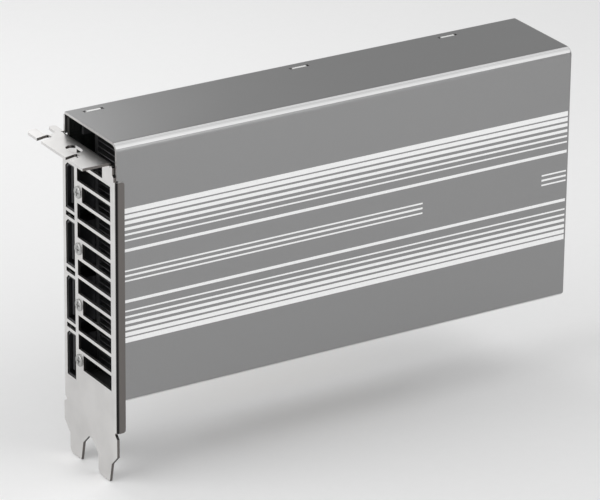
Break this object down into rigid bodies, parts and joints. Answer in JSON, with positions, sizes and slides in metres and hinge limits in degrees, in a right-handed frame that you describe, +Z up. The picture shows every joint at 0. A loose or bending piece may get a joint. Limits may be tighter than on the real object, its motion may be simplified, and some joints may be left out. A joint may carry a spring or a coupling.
{
  "type": "passive accelerator card",
  "caption": "Dual-slot expansion card with a folded sheet-metal air duct, a finned heatsink, a vented slot bracket, display outputs and an edge connector.",
  "frame": {"origin": "centre of the key notch, on the board's mid-plane, at the contact edge of the edge connector", "axes": "+X along the card away from the slot bracket, +Y out of the board's back (solder) side, +Z up from the contact edge to the duct's top"},
  "size_m": [0.1983, 0.044, 0.1272],
  "materials": {
    "bracket_steel": "satin nickel-plated steel",
    "dark_screws": "blackened steel",
    "shroud_paint": "satin silver-grey coat with thin lighter and darker stripes",
    "frame_steel": "plain plated steel",
    "fin_metal": "plain aluminium, dulled",
    "base_metal": "machined aluminium",
    "board_laminate": "glass-fibre laminate with dark solder mask",
    "gold_contacts": "gold plating",
    "substrate": "organic laminate carrier",
    "silicon": "polished silicon",
    "soft_pads": "soft heat-conducting silicone",
    "chip_package": "moulded black epoxy",
    "inductor_core": "pressed metal powder",
    "capacitor_case": "moulded dark epoxy",
    "chamber_copper": "copper, lightly oxidised",
    "plated_steel": "bright plating",
    "backplate_paint": "matte black coat",
    "insulator": "black insulating film",
    "foam": "black closed-cell foam",
    "spring_steel": "hardened spring steel",
    "connector_steel": "plated connector shell",
    "connector_plastic": "black liquid-crystal polymer",
    "socket_plastic": "black nylon",
    "pin_metal": "tin-plated brass"
  },
  "bodies": {
    "root": {"bracket": "bracket_steel", "bracket_screws": "dark_screws", "shroud": "shroud_paint", "support_frame": "frame_steel", "fin_stack": "fin_metal", "heatsink_base": "base_metal", "circuit_board": "board_laminate", "edge_contacts": "gold_contacts", "gpu_substrate": "substrate", "gpu_die": "silicon", "gpu_thermal_sheet": "soft_pads", "memory_chips": "chip_package", "memory_pads": "soft_pads", "power_stages": "chip_package", "power_stage_pads": "soft_pads", "power_inductors": "inductor_core", "inductor_pads": "soft_pads", "polymer_capacitors": "capacitor_case", "controller_chips": "chip_package", "vapour_chamber": "chamber_copper", "base_standoffs": "plated_steel", "backplate": "backplate_paint", "backplate_strips": "foam", "retention_pad": "insulator", "retention_spring": "spring_steel", "retention_screws": "plated_steel", "lip_strip": "foam", "displayport_shell_1": "connector_steel", "displayport_insert_1": "connector_plastic", "displayport_shell_2": "connector_steel", "displayport_insert_2": "connector_plastic", "displayport_shell_3": "connector_steel", "displayport_insert_3": "connector_plastic", "displayport_shell_4": "connector_steel", "displayport_insert_4": "connector_plastic", "power_socket_1": "socket_plastic", "power_pins_1": "pin_metal", "power_socket_2": "socket_plastic", "power_pins_2": "pin_metal"}
  },
  "joints": []
}
